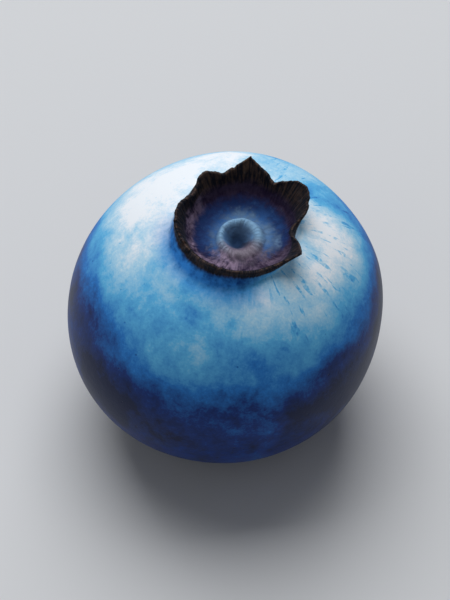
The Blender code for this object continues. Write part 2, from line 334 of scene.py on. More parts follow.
class StageSettings(bpy.types.PropertyGroup):
    """The floor, the lights and the camera."""

    floor_colour: colour("Floor", "dadcdf", "Colour of the floor")
    floor_half_width: length("Floor half width", 0.6, "Half the width of the floor")
    key_power: FloatProperty(name="Key light", description="Main light", default=1.15, unit="POWER")
    fill_power: FloatProperty(name="Fill light", description="Soft light", default=0.09, unit="POWER")
    room_light: share("Room light", 0.15, "Brightness of the even light from all round")
    camera_rise: FloatProperty(
        name="Camera rise", description="How steep it is", default=math.radians(56.0), subtype="ANGLE"
    )
    camera_distance: length("Camera distance", 0.3, "From the camera to the middle of the fruit")
    lens: FloatProperty(name="Lens", description="Focal length in millimetres", default=355.0)


def smooth_step(low, high, value):
    """Gives 0 up to low, 1 from high on, and an even S between them."""
    part = min(max((value - low) / (high - low), 0.0), 1.0)
    return part * part * (3.0 - 2.0 * part)


def round_noise(turn, waves, layer):
    """Soft noise from -1 to 1 that joins up once round the fruit, with about this many waves."""
    reach = waves / math.tau
    return noise.noise(Vector((reach * math.cos(turn), reach * math.sin(turn), layer)))


def place_noise(place, waves_per_mm, layer):
    """Soft noise from -1 to 1 through space."""
    size = waves_per_mm / MM
    return noise.noise(Vector((place.x * size + layer, place.y * size - layer, place.z * size)))


def round_waves(turn, rows, along=0.0, rises_only=False):
    """Adds up rows of soft noise round the fruit. With rises_only, each dip is turned into a rise."""
    total = 0.0
    for part, waves, layer, drift in rows:
        wave = round_noise(turn, waves, layer + drift * along)
        total += part * (abs(wave) if rises_only else wave)
    return total


def place_waves(place, rows):
    """Adds up rows of soft noise through space."""
    return sum(part * place_noise(place, waves_per_mm, layer) for part, waves_per_mm, layer in rows)


def soft_spot(apart, reach):
    """1 in the middle of a spot, fading to 0 at its reach."""
    part = min(apart / reach, 1.0)
    return (1.0 - part * part) ** 2


def degrees_apart(turn, facing):
    """How far a turn is from a facing in degrees, the short way round."""
    return abs(math.degrees(math.remainder(turn - math.radians(facing), math.tau)))


class FruitShape:
    """The fruit's outline, and the rules that bend the turned outline into a fruit that grew."""

    def __init__(self, sizes):
        self.sizes = sizes
        self.wall_middle = sizes.rim_radius - sizes.rim_wall / 2.0
        self.longest_lobe = max(row[1] for row in LOBES)

    def outline_angle(self, radius, fullness):
        """The angle on the round outline where it is this far from the axis, 0 at its widest."""
        return math.acos((radius / self.sizes.fruit_radius) ** (fullness / 2.0))

    @staticmethod
    def rounded(angle, fullness):
        """How far a point of the round outline is from the axis and from the widest height, as shares."""
        power = 2.0 / fullness
        return math.cos(angle) ** power, math.sin(angle) ** power

    def settled(self, height):
        """A skin point's height, once the bottom is flat where it would sag below z = 0."""
        soft = self.sizes.spot_softness
        if height >= soft:
            return height
        if height <= -soft:
            return 0.0
        return (height + soft) ** 2 / (4.0 * soft)

    def scar_points(self):
        """The dry pit at the stem end, out to just short of its rounded lip."""
        sizes = self.sizes
        points = []
        for step in range(PLUG_RINGS):
            part = step / PLUG_RINGS
            height = sizes.scar_depth - sizes.scar_plug_rise * (1.0 - part**2)
            points.append((sizes.scar_floor_radius * part, height))
        for step in range(SCAR_WALL_RINGS):
            angle = QUARTER_TURN * step / SCAR_WALL_RINGS
            wall = (sizes.scar_lip_radius - sizes.scar_floor_radius) * math.cos(angle)
            points.append((sizes.scar_lip_radius - wall, sizes.scar_depth * (1.0 - math.sin(angle))))
        return points

    def lower_points(self):
        """The lower half of the skin, from the lip of the scar out to just below the widest height."""
        sizes = self.sizes
        lip_angle = self.outline_angle(sizes.scar_lip_radius, sizes.lower_fullness)
        points = []
        for step in range(LOWER_RINGS):
            out, down = self.rounded(lip_angle * (1.0 - step / LOWER_RINGS), sizes.lower_fullness)
            height = sizes.widest_height - (sizes.widest_height + sizes.spot_sag) * down
            points.append((sizes.fruit_radius * out, self.settled(height)))
        return points

    def upper_points(self):
        """The upper half of the skin, from the widest height up to the foot of the collar."""
        sizes = self.sizes
        foot_angle = self.outline_angle(sizes.foot_radius, sizes.upper_fullness)
        foot_up = self.rounded(foot_angle, sizes.upper_fullness)[1]
        rise = (sizes.foot_height - sizes.widest_height) / foot_up
        points = []
        for step in range(UPPER_RINGS + 1):
            out, up = self.rounded(foot_angle * step / UPPER_RINGS, sizes.upper_fullness)
            points.append((sizes.fruit_radius * out, sizes.widest_height + rise * up))
        return points

    def collar_points(self):
        """The outside of the collar up to its rim, and the rounded top of the rim."""
        sizes = self.sizes
        points = []
        for step in range(1, COLLAR_RINGS + 1):
            part = (step / COLLAR_RINGS) ** 0.6
            out = sizes.foot_radius + (sizes.rim_radius - sizes.foot_radius) * math.sqrt(part)
            points.append((out, sizes.foot_height + (sizes.rim_height - sizes.foot_height) * part))
        for step in range(1, CREST_RINGS + 1):
            angle = math.pi * step / (CREST_RINGS + 1)
            out = self.wall_middle + sizes.rim_wall / 2.0 * math.cos(angle)
            points.append((out, sizes.rim_height + sizes.rim_crest * math.sin(angle)))
        return points

    def bowl_points(self):
        """The inside of the bowl, from the inner edge of the rim down to the edge of its floor."""
        sizes = self.sizes
        across = sizes.rim_radius - sizes.rim_wall - sizes.bowl_floor_radius
        depth = sizes.rim_height - sizes.bowl_floor_height
        points = []
        for step in range(BOWL_RINGS + 1):
            angle = QUARTER_TURN * (step / BOWL_RINGS) ** 1.3
            out = sizes.bowl_floor_radius + across * math.cos(angle)
            points.append((out, sizes.rim_height - depth * math.sin(angle)))
        return points

    def ridge_points(self):
        """The raised ring on the floor of the bowl, then the funnel of the pit inside it."""
        sizes = self.sizes
        start = sizes.ring_radius + sizes.ring_half_width
        ring_top = sizes.bowl_floor_height + sizes.ring_rise
        points = []
        for step in range(RIDGE_RINGS):
            out = start + (sizes.ring_radius - start) * step / RIDGE_RINGS
            points.append((out, sizes.bowl_floor_height + sizes.ring_rise * self.ring_crest(out)))
        for step in range(PIT_RINGS + 1):
            part = step / PIT_RINGS
            drop = (sizes.ring_rise + sizes.pit_depth) * smooth_step(0.0, 0.92, part)
            points.append((sizes.ring_radius * (1.0 - part), ring_top - drop))
        return points

    def ring_crest(self, out):
        """How high the raised ring is at this distance from its middle, from 0 to 1."""
        apart = min(abs(out - self.sizes.ring_radius) / self.sizes.ring_half_width, 1.0)
        return (1.0 + math.cos(math.pi * apart)) / 2.0

    def outline(self):
        """The whole outline from the middle of the scar to the middle of the bowl."""
        skin = self.scar_points() + self.lower_points() + self.upper_points()
        return skin + self.collar_points() + self.bowl_points() + self.ridge_points()

    def swelling(self, turn, height):
        """How much further out the skin is at this place than the turned shape, as a share."""
        sizes = self.sizes
        total = 0.0
        for count, part, first, twist in SWELLINGS:
            angle = turn - math.radians(first + twist * height / sizes.rim_height)
            total += part * math.cos(count * angle)
        grows = smooth_step(sizes.swell_from_height, sizes.swell_full_height, height)
        return total * grows * (1.0 - smooth_step(sizes.swell_fade_height, sizes.foot_height, height))

    def dent_depth(self, place):
        """How far the skin is pressed in at this place of the turned shape."""
        radius = self.sizes.fruit_radius
        total = 0.0
        for facing, height, depth, reach in DENTS:
            angle = math.radians(facing)
            centre = Vector((radius * math.cos(angle), radius * math.sin(angle), height))
            total += depth * soft_spot((place - centre).length, reach)
        return total

    def bloom_drift_and_painted_light(self, place):
        """How much more or less bloom lies at this place of the turned shape, painted highlight and shade
        included.
        """
        radius = self.sizes.fruit_radius
        middle = Vector((0.0, 0.0, self.sizes.widest_height))
        total = 0.0
        for facing, height, reach, amount in BLOOM_DRIFTS_AND_PAINTED_LIGHT:
            angle = math.radians(facing)
            level = (height - middle.z) / radius
            across = math.sqrt(1.0 - level * level)
            centre = middle + radius * Vector((across * math.cos(angle), across * math.sin(angle), level))
            total += amount * soft_spot((place - centre).length, reach)
        return total

    def foot_flare(self, turn, out, height):
        """How much of the spread of the collar's foot this place of the outside has, from 0 to 1."""
        sizes = self.sizes
        spread = soft_spot(degrees_apart(turn, sizes.flare_facing), sizes.flare_half_width)
        above_skin = 1.0 - smooth_step(sizes.foot_height, sizes.rim_height, height)
        near_foot = 1.0 - smooth_step(sizes.foot_radius, sizes.foot_radius + sizes.flare_reach, out)
        return spread * above_skin * near_foot

    def pinch(self, turn):
        """How much of the pinch in the rim this turn has, from 0 to 1."""
        return soft_spot(degrees_apart(turn, self.sizes.pinch_facing), self.sizes.pinch_half_width)

    def lobe_at(self, turn):
        """How far the rim reaches past the notches here, its lean, and how near the lobe's middle is."""
        lobes = []
        for facing, reach, lean, half_width, fullness in LOBES:
            across = min(degrees_apart(turn, facing) / half_width, 1.0)
            part = (1.0 - across**fullness) ** NOTCH_SOFTNESS
            lobes.append((reach * part, math.radians(lean), 1.0 - across))
        total = sum(reach for reach, lean, middle in lobes)
        if total == 0.0:
            return 0.0, 0.0, 0.0
        longest = max(lobes)
        return longest[0], sum(reach * lean for reach, lean, middle in lobes) / total, longest[2]

    def skin_relief(self, place, turn, out):
        """How far the skin lies inside the smooth fruit: broad lumps, and puckers round the collar."""
        sizes = self.sizes
        off_spot = smooth_step(LUMPS_FROM_HEIGHT, LUMPS_FULL_HEIGHT, place.z)
        total = sizes.skin_lumps * (0.5 + 0.5 * place_waves(place, LUMP_WAVES)) * off_spot
        away = (out - sizes.foot_radius) / sizes.pucker_reach
        if place.z > sizes.widest_height and 0.0 <= away < 1.0:
            creases = round_waves(turn, PUCKER_WAVES, away)
            total += sizes.pucker_depth * (1.0 - away) ** 2 * (0.5 + creases)
        return total

    def tear_depth(self, turn, lobe):
        """How deep the rim is frayed and chipped here: twice as deep on a lobe as in a notch."""
        fray = round_waves(turn, FRAY_WAVES, rises_only=True)
        chip = smooth_step(0.2, 0.42, round_waves(turn, CHIP_WAVES))
        return self.sizes.edge_tear * (fray + CHIP_SHARE * chip) * (0.5 + 0.5 * lobe)

    def thinning(self, up_collar, out, lobe):
        """How much of the way to the middle of the wall a point moves, as the wall thins towards a tip."""
        sizes = self.sizes
        inner_edge = sizes.rim_radius - sizes.rim_wall
        in_wall = smooth_step(inner_edge - 0.22 * MM, inner_edge - 0.07 * MM, out)
        return sizes.tip_thinning * up_collar**2 * (0.3 + 0.7 * lobe) * in_wall

    def crown_moves(self, turn, up_collar, out):
        """How far a point of the collar moves out and up: lobes, keels, folds, tears and curled tips."""
        sizes = self.sizes
        reach, lean, middle = self.lobe_at(turn)
        lobe = reach / self.longest_lobe
        torn = self.tear_depth(turn, lobe)
        lift = up_collar**2 * max(reach - torn * up_collar**4, 0.0)
        moved_out = lift * math.sin(lean)
        moved_up = lift * math.cos(lean) - NOTCH_TEAR * torn * up_collar**6 * (1.0 - lobe)
        folds = round_waves(turn, FOLD_WAVES, up_collar)
        moved_out += sizes.fold_depth * folds * up_collar * (0.35 + 0.65 * lobe)
        moved_out += sizes.keel_depth * (middle - KEEL_EDGE) * lobe * up_collar**2
        curl = CURL_LEAN + round_waves(turn, CURL_WAVES)
        curled = sizes.tip_curl * lobe * up_collar**5
        moved_out += curl * curled
        moved_up -= CURL_DROP * abs(curl) * curled
        moved_out += (self.wall_middle - out) * self.thinning(up_collar, out, lobe)
        moved_out -= sizes.pinch_in * self.pinch(turn) * up_collar
        return moved_out, moved_up

    def bowl_relief(self, turn, out, height):
        """How far the wall and floor of the bowl rise from their smooth shape."""
        sizes = self.sizes
        folds = round_waves(turn, BOWL_WAVES, out / MM)
        from_ring = smooth_step(sizes.ring_radius * 0.9, sizes.bowl_floor_radius * 1.1, out)
        below_rim = 1.0 - smooth_step(sizes.foot_height - 0.2 * MM, sizes.rim_height, height)
        total = sizes.bowl_folds * folds * from_ring * (0.35 + 0.65 * below_rim)
        uneven = round_waves(turn, RING_WAVES) + RING_TILT * math.sin(turn) - RING_SINK
        return total + sizes.ring_rise * sizes.ring_unevenness * uneven * self.ring_crest(out)

    def scar_relief(self, place, turn, out):
        """How far the corky plug and the torn wall of the scar rise from their smooth shape."""
        sizes = self.sizes
        grain = place_waves(place, CORK_WAVES)
        cracks = 1.0 - smooth_step(0.0, 0.12, abs(round_waves(turn, CRACK_WAVES, out / MM)))
        off_middle = smooth_step(0.05 * MM, 0.3 * MM, out)
        bundle = 1.0 - smooth_step(0.1 * MM, 0.3 * MM, out)
        off_lip = 1.0 - smooth_step(sizes.scar_floor_radius * 0.9, sizes.scar_lip_radius * 0.97, out)
        return sizes.scar_roughness * (grain + 0.8 * cracks * off_middle + 1.2 * bundle) * off_lip

    def side_shift(self, place, out, up_collar):
        """How far a point lies over to +X: the crown sits to one side, and its rim and bowl further."""
        sizes = self.sizes
        side = sizes.crown_shift * smooth_step(sizes.lean_from_height, sizes.rim_height, place.z)
        if place.z <= sizes.widest_height:
            return side
        side += sizes.rim_shift * (1.0 if out < self.wall_middle else up_collar)
        ring_foot = sizes.ring_radius + sizes.ring_half_width
        return side - sizes.pit_shift * (1.0 - smooth_step(sizes.pit_radius, ring_foot, out))

    def marks(self, place, out, up_collar):
        """Numbers that say which part of the fruit a point is on, how deep, and how its bloom drifts with
        painted light.
        """
        sizes = self.sizes
        in_top = 1.0 if place.z > sizes.widest_height else 0.0
        edge = CREST_HALF_WIDTH
        inside = 1.0 - smooth_step(self.wall_middle - edge, self.wall_middle + edge, out)
        pit = 1.0 - smooth_step(sizes.pit_radius * 0.3, sizes.pit_radius * 1.35, out)
        scar = 1.0 - smooth_step(sizes.scar_lip_radius * 0.97, sizes.scar_lip_radius * 1.16, out)
        if inside * in_top > 0.5:
            fall = (sizes.rim_height - place.z) / (sizes.rim_height - sizes.bowl_floor_height)
            depth = min(max(fall, 0.0), 1.0)
        else:
            depth = 1.0 - up_collar
        return {
            "inside": inside * in_top,
            "depth": depth,
            "ring": self.ring_crest(out) * in_top,
            "pit": pit * in_top,
            "scar": scar * (1.0 - in_top),
            "drift": self.bloom_drift_and_painted_light(place),
        }

    def grown(self, place):
        """Where a point of the turned shape lies on the fruit, and the marks that its colours follow."""
        sizes = self.sizes
        turn = math.atan2(place.y, place.x)
        flat_out = math.hypot(place.x, place.y)
        up_collar = (place.z - sizes.foot_height) / (sizes.rim_height - sizes.foot_height)
        up_collar = min(max(up_collar, 0.0), 1.0)
        marks = self.marks(place, flat_out, up_collar)
        out = flat_out * (1.0 + self.swelling(turn, place.z)) - self.dent_depth(place)
        height = place.z
        if place.z < sizes.widest_height and flat_out < sizes.scar_lip_radius:
            height += self.scar_relief(place, turn, flat_out)
        elif marks["inside"] > 0.5:
            height += self.bowl_relief(turn, flat_out, place.z)
        else:
            out -= self.skin_relief(place, turn, flat_out) * (1.0 - smooth_step(0.0, 0.5, up_collar))
        if up_collar > 0.0:
            moved_out, moved_up = self.crown_moves(turn, up_collar, flat_out)
            out += moved_out
            height += moved_up
        if place.z > sizes.widest_height and flat_out >= self.wall_middle:
            flare = self.foot_flare(turn, flat_out, place.z)
            out += sizes.flare_out * flare
            height -= sizes.flare_drop * flare
        side = self.side_shift(place, flat_out, up_collar)
        return Vector((out * math.cos(turn) + side, out * math.sin(turn), height)), marks


def drawn_outline(points):
    """A new bmesh with the outline as one chain of edges, in the plane of X and Z."""
    body = bmesh.new()
    first_out, first_height = points[0]
    end = bmesh.ops.create_vert(body, co=(first_out, 0.0, first_height))["vert"][0]
    for out, height in points[1:]:
        end = bmesh.ops.extrude_vert_indiv(body, verts=[end])["verts"][0]
        end.co = (out, 0.0, height)
    return body


def turned_body(points, sides):
    """A closed mesh of the whole outline turned once round the upright axis."""
    body = drawn_outline(points)
    bmesh.ops.spin(
        body,
        geom=body.verts[:] + body.edges[:],
        cent=(0.0, 0.0, 0.0),
        axis=(0.0, 0.0, 1.0),
        angle=math.tau,
        steps=sides,
        use_merge=True,
        use_duplicate=False,
    )
    bmesh.ops.remove_doubles(body, verts=body.verts, dist=MERGE_DISTANCE)
    bmesh.ops.recalc_face_normals(body, faces=body.faces)
    return body


def keep_inside_solid(body):
    """Centres the fruit over the origin, and shrinks it where it is wider or taller than the solid."""
    for axis in range(3):
        places = [corner.co[axis] for corner in body.verts]
        low, high = min(places), max(places)
        if axis < 2:
            step = Vector((0.0, 0.0, 0.0))
            step[axis] = -(low + high) / 2.0
            bmesh.ops.translate(body, verts=body.verts, vec=step)
            half = (high - low) / 2.0
            limit = min(-SOLID_LOW[axis], SOLID_HIGH[axis])
        else:
            half, limit = high, SOLID_HIGH[axis]
        factors = Vector((1.0, 1.0, 1.0))
        factors[axis] = min(1.0, limit / half)
        bmesh.ops.scale(body, verts=body.verts, vec=factors)


class Wire:
    """One output of a shader tree. A sum on wires adds Math nodes to the tree."""

    def __init__(self, paint, socket):
        self.paint = paint
        self.socket = socket

    def maths(self, operation, first, second):
        return self.paint.node("ShaderNodeMath", {"operation": operation}, {0: first, 1: second})

    def __add__(self, other):
        return self.maths("ADD", self, other)

    def __radd__(self, other):
        return self.maths("ADD", other, self)

    def __sub__(self, other):
        return self.maths("SUBTRACT", self, other)

    def __rsub__(self, other):
        return self.maths("SUBTRACT", other, self)

    def __mul__(self, other):
        return self.maths("MULTIPLY", self, other)

    def __rmul__(self, other):
        return self.maths("MULTIPLY", other, self)

    def also(self, name):
        """Another output of the same node."""
        return Wire(self.paint, self.socket.node.outputs[name])


class Paint:
    """One material and its nodes."""

    def __init__(self, name):
        self.material = bpy.data.materials.new(name)
        self.material.use_nodes = True
        self.tree = self.material.node_tree
        self.shader = self.tree.nodes["Principled BSDF"]

    def node(self, kind, settings=None, values=None, output=0):
        """Adds any node: its settings first, then the values or wires of its sockets."""
        made = self.tree.nodes.new(kind)
        for name, setting in (settings or {}).items():
            if name == "stops":
                self.set_stops(made.color_ramp, setting)
            else:
                setattr(made, name, setting)
        for name, value in (values or {}).items():
            self.feed(made.inputs[name], value)
        return Wire(self, made.outputs[output])

    def feed(self, socket, value):
        """Links a wire to a socket, or sets the socket's own value."""
        if isinstance(value, Wire):
            self.tree.links.new(value.socket, socket)
        elif socket.type == "RGBA":
            socket.default_value = (*value[:3], 1.0)
        else:
            socket.default_value = value

    @staticmethod
    def set_stops(ramp, stops):
        """Gives a colour ramp these stops: a position and a colour each."""
        while len(ramp.elements) < len(stops):
            ramp.elements.new(1.0)
        for element, (position, tint) in zip(ramp.elements, stops):
            element.position = position
            element.color = (*tint[:3], 1.0)

    def mark(self, name):
        """A number kept at the points of the mesh."""
        return self.node("ShaderNodeAttribute", {"attribute_name": name}, output="Fac")

    def band(self, value, low, high, start=0.0, end=1.0):
        """A soft step from start, at low, to end, at high."""
        values = {"Value": value, "From Min": low, "From Max": high, "To Min": start, "To Max": end}
        return self.node("ShaderNodeMapRange", {"interpolation_type": "SMOOTHSTEP"}, values)

    def cloud(self, where, scale, detail=2.0, roughness=0.5, warp=0.0):
        """Soft noise from about 0.25 to 0.75, with this many waves a millimetre, or round the crown."""
        values = {"Vector": where, "Scale": scale, "Detail": detail}
        values.update({"Roughness": roughness, "Distortion": warp})
        return self.node("ShaderNodeTexNoise", {}, values)

    def blend(self, part, first, second):
        """A colour that goes from first to second."""
        values = {"Factor": part, 6: first, 7: second}
        return self.node("ShaderNodeMix", {"data_type": "RGBA"}, values, output=2)

    def vector(self, operation, first, second=(0.0, 0.0, 0.0)):
        """A sum on places rather than numbers."""
        return self.node("ShaderNodeVectorMath", {"operation": operation}, {0: first, 1: second})

    def distance(self, first):
        """How long a step is."""
        return self.vector("LENGTH", first).also("Value")

    def drawn_out(self, facing, along):
        """Where to read a cloud so that its marks run lengthwise, away from an axis."""
        return self.vector("ADD", facing, self.node("ShaderNodeCombineXYZ", {}, {"Z": along}))

    def ramp(self, value, stops):
        """The colour at this point of a row of colours, each with its position."""
        return self.node("ShaderNodeValToRGB", {"stops": stops}, {"Fac": value})


class FruitPaint(Paint):
    """The whole fruit's material: skin under bloom, dry crown, bowl, ring, pit and stem scar."""

    def __init__(self, colours, sizes):
        super().__init__("blueberry_skin")
        self.colours = colours
        self.find_places(sizes)
        self.read_marks()
        self.lay_clouds()
        self.lay_bloom()
        dry = self.dry_tint()
        outer, inner = self.outer_tint(dry), self.inner_tint(dry)
        tint = self.blend(self.band(self.inside, 0.35, 0.65), outer, inner)
        crest = self.band(self.inside, 0.15, 0.5) * self.band(self.inside, 0.85, 0.5)
        tint = self.blend(crest * self.band(self.fibres, 0.42, 0.62) * 0.4, tint, colours.torn_edge)
        self.feed(self.shader.inputs["Base Color"], self.with_scar(tint))
        self.lay_gloss()
        self.lay_relief()
        for name, value in FRUIT_SURFACE.items():
            self.feed(self.shader.inputs[name], value)

    def find_places(self, sizes):
        """Where a point is, in millimetres, and how it lies from the fruit's axis and from the crown's."""
        place = self.node("ShaderNodeTexCoord", output="Object")
        scale = (1.0 / MM, 1.0 / MM, 1.0 / MM)
        self.where = self.node("ShaderNodeMapping", {}, {"Vector": place, "Scale": scale})
        self.height = self.node("ShaderNodeSeparateXYZ", {}, {0: self.where}, output="Z")
        self.flat = self.vector("MULTIPLY", self.where, (1.0, 1.0, 0.0))
        self.from_axis = self.distance(self.flat)
        crown_middle = ((sizes.crown_shift + sizes.rim_shift) / MM, 0.0, 0.0)
        level = self.vector("MULTIPLY", self.vector("SUBTRACT", self.where, crown_middle), (1.0, 1.0, 0.0))
        self.away = self.distance(level)
        self.facing = self.vector("NORMALIZE", level)
        self.to_side = self.node("ShaderNodeSeparateXYZ", {}, {0: self.facing}, output="X")
        self.to_back = self.to_side.also("Y")
        self.down = self.away * MARK_STRETCH - self.height * MARK_STRETCH
        self.down_the_fruit = self.drawn_out(self.facing, self.down)

    def read_marks(self):
        """The numbers kept at the points of the mesh."""
        self.inside, self.depth, self.ring, self.pit, self.scar, self.drift = map(self.mark, MARKS)

    def shifted(self, x, y, z):
        """Where to read a cloud, moved this far so that no two clouds are alike."""
        return self.vector("ADD", self.where, (x, y, z))

    def lay_clouds(self):
        """The patterns that several parts of the fruit use, from broad drifts down to powder and fibres."""
        self.broad = self.cloud(self.where, 0.2, 2.0, 0.5, 0.4)
        self.mottle = self.cloud(self.shifted(31.0, 7.0, 3.0), 0.9, 4.0, 0.55, 0.2)
        self.dapple = self.cloud(self.shifted(17.0, 23.0, 5.0), 3.4, 4.0, 0.6, 0.2)
        self.powder = self.cloud(self.where, 9.0, 3.0, 0.6)
        self.crumple = self.cloud(self.shifted(11.0, 2.0, 8.0), 2.2, 5.0, 0.6, 0.5)
        self.wipe = self.cloud(self.down_the_fruit, 5.0, 4.0, 0.6, 0.3)
        self.fibres = self.cloud(self.down_the_fruit, 26.0, 4.0, 0.6, 0.3)

    def threads(self):
        """Thin strokes to the right of the crown, where bloom is wiped off."""
        strokes = self.cloud(self.drawn_out(self.facing, self.down * 0.4), 15.0, 2.0, 0.5, 0.15)
        near_crown = self.band(self.height, 10.5, 12.8) * self.band(self.to_side, -0.3, 0.6)
        return self.band(strokes, 0.57, 0.66) * near_crown * self.band(self.dapple, 0.38, 0.6)

    def speckles(self):
        """Small bare specks in the bloom."""
        values = {"Vector": self.where, "Scale": 1.6, "Randomness": 1.0}
        cells = self.node("ShaderNodeTexVoronoi", {}, values, output="Distance")
        picked = self.cloud(self.shifted(3.0, 9.0, 27.0), 0.9, 0.0)
        return (1.0 - self.band(cells, 0.04, 0.11)) * self.band(picked, 0.5, 0.6)

    def lay_bloom(self):
        """How thick the bloom is: more by the crown and in drifts, partly as painted light; mottled,
        rubbed, streaked and speckled.
        """
        self.specks = self.speckles()
        rubbed = self.band(self.cloud(self.shifted(5.0, 41.0, 17.0), 0.4, 5.0, 0.58, 0.4), 0.5, 0.7)
        # The bloom thickens from 6.6 mm up to the crown: partly real, partly painted light, pale on top and
        # dark towards the bottom.
        rise = self.band(self.height, 6.6, 14.1)
        bloom = self.colours.bloom_cover + rise * self.colours.bloom_rise_and_painted_light + self.drift
        bloom = bloom + (self.broad - 0.5) * 0.7 + (self.mottle - 0.5) * 0.34 + (self.dapple - 0.5) * 0.2
        bloom = bloom + (self.wipe - 0.5) * 0.18 + (self.powder - 0.5) * 0.18
        self.bloom = bloom - rubbed * 0.13 - self.threads() * 0.26 - self.specks * 0.16

    def skin_tint(self):
        """Dark skin under its bloom, with a purple blush towards the stem."""
        colours = self.colours
        tints = (colours.bare_skin, colours.thin_bloom, colours.even_bloom)
        tints += (colours.thick_bloom, colours.pale_bloom, colours.white_bloom_and_highlight)
        # Where the bloom runs highest, on the upper back and left, the white end of this ramp is partly a
        # painted highlight.
        skin = self.ramp(self.bloom, tuple(zip(BLOOM_STOPS, tints)))
        stem_end = self.band(self.height, 1.2, 0.2) * self.band(self.from_axis, 3.2, 1.2)
        blush = self.band(self.height, 6.0, 0.0) * self.band(self.broad, 0.4, 0.62)
        return self.blend(blush * 0.5 + stem_end * 0.5, skin, colours.stem_blush)

    def dry_tint(self):
        """The dry parts of the crown: nearly black, with paler brown fibres, more of them at the back."""
        brown = self.band(self.fibres * 0.6 + self.crumple * 0.4, 0.42, 0.6)
        browner = 0.5 + self.band(self.to_back, 0.2, 0.95) * 0.5
        return self.blend(brown * browner, self.colours.dry_edge, self.colours.dry_brown)

    def outer_tint(self, dry):
        """The outside: skin, the blue wall of the collar with a painted shadow under its rim, then its dry
        edge and lobes.
        """
        colours = self.colours
        # The collar's dark blue spreads past its foot over the skin on the front left as a painted shadow
        # under the rim, and darkens the wall below the rim all round as painted shade.
        spread = self.band(self.to_side * 0.68 + self.to_back * 0.73, -0.3, -0.95)
        wall_light = self.band(self.dapple * 0.4 + self.wipe * 0.4 + self.away * 0.2, 0.98, 1.2)
        wall_and_shadow_tint = self.blend(wall_light, colours.collar_wall_and_shadow, colours.even_bloom)
        ragged = self.away + (self.dapple - 0.5) * 0.4 + (self.wipe - 0.5) * 0.4
        painted_collar_shadow = self.band(ragged, 4.9, 3.5) * self.band(self.height, 11.0, 12.5)
        washed = painted_collar_shadow * spread * 0.9 + self.band(self.depth, 0.95, 0.5) * 0.3
        wall = self.blend(washed, self.skin_tint(), wall_and_shadow_tint)
        dried = self.depth + (self.fibres - 0.5) * 0.2 + (self.mottle - 0.5) * 0.35
        self.dryness = self.band(dried, 0.44, 0.24)
        return self.blend(self.dryness, wall, dry)

    def inner_tint(self, dry):
        """The inside: dark dry edge, maroon wall with pinkish patches, more on the left and front as a
        painted highlight, and the floor of the bowl.
        """
        colours = self.colours
        to_front = self.band(self.to_back, 0.0, -0.95)
        to_left = self.band(self.to_side * 0.94 + self.to_back * 0.34, -0.2, -0.98)
        pink = self.band(self.mottle * 0.35 + self.crumple * 0.45 + self.fibres * 0.2, 0.42, 0.62)
        # Pinkish patches gather on the left and front inside the crown as a painted highlight.
        pink_and_painted_highlight = pink * (0.1 + to_left * 0.85 + to_front * 0.4)
        maroon = self.blend(pink_and_painted_highlight, colours.inner_wall, colours.inner_blush_and_highlight)
        wall = self.blend(self.band(self.depth + (self.crumple - 0.5) * 0.3, 0.16, 0.42), dry, maroon)
        ragged = self.depth - to_front * 0.4 + (self.fibres - 0.5) * 0.1 + (self.dapple - 0.5) * 0.36
        self.on_floor = self.band(ragged, 0.6, 0.9)
        inner = self.blend(self.on_floor, wall, self.floor_tint())
        # The ring turns pinkish towards the front as a painted highlight.
        ring_tint = self.blend(to_front * 0.9, colours.ring_bloom, colours.ring_blush_and_highlight)
        washed = self.away + (self.mottle - 0.5) * 2.0 + (self.dapple - 0.5) * 1.2
        ring_wash = self.band(washed, 1.9, 1.0) * 0.34
        covered = self.ring + (self.crumple - 0.5) * 0.6 + (self.dapple - 0.5) * 0.6
        ring_cover = self.band(covered, 0.05, 1.0)
        inner = self.blend(ring_cover * 0.85 + ring_wash * (1.0 - ring_cover), inner, ring_tint)
        return self.blend(self.pit, inner, colours.pit_dark)

    def floor_tint(self):
        """The floor of the bowl: blue, with darker patches, more of them towards its edge as painted shade
        under the wall.
        """
        light = self.band(self.dapple * 0.5 + self.mottle * 0.5, 0.42, 0.58)
        # Painted shade: the floor darkens away from the ring towards the wall.
        light = light * self.band(self.away, 2.5, 1.1)
        return self.blend(light, self.colours.bowl_shade, self.colours.bowl_floor)

    def with_scar(self, tint):
        """Adds the corky scar: grain and fissures, a dark core, painted shade on its sunken wall, and a
        thin torn lip.
        """
        colours = self.colours
        spokes = self.drawn_out(self.vector("NORMALIZE", self.flat), self.from_axis * 0.5)
        split = self.cloud(spokes, 3.2, 4.0, 0.6, 0.5)
        off_split = self.node("ShaderNodeMath", {"operation": "ABSOLUTE"}, {0: split - 0.5})
        self.fissures = self.band(off_split, 0.03, 0.0)
        self.cork_grain = self.cloud(self.where, 8.0, 4.0, 0.6, 0.3)
        cork = self.blend(self.band(self.cork_grain, 0.36, 0.62), colours.cork_shade, colours.cork)
        core = self.band(self.from_axis + (self.dapple - 0.5) * 0.3, 0.36, 0.1)
        # Painted shade: the sunken wall of the scar is darkened.
        scar_wall_shade = self.band(self.from_axis + (split - 0.5) * 0.4, 0.78, 1.04)
        for dark in (self.fissures * 0.7, core * 0.75, scar_wall_shade * 0.85):
            cork = self.blend(dark, cork, colours.cork_crack_and_shade)
        lip = self.band(self.from_axis, 1.04, 1.13)
        lip = lip * self.band(self.from_axis + (self.dapple - 0.5) * 0.7, 1.34, 1.14)
        lip = lip * self.band(self.height, 0.4, 0.2) * self.band(split, 0.3, 0.6)
        return self.blend(lip * 0.8, self.blend(self.scar, tint, cork), colours.cork_lip)

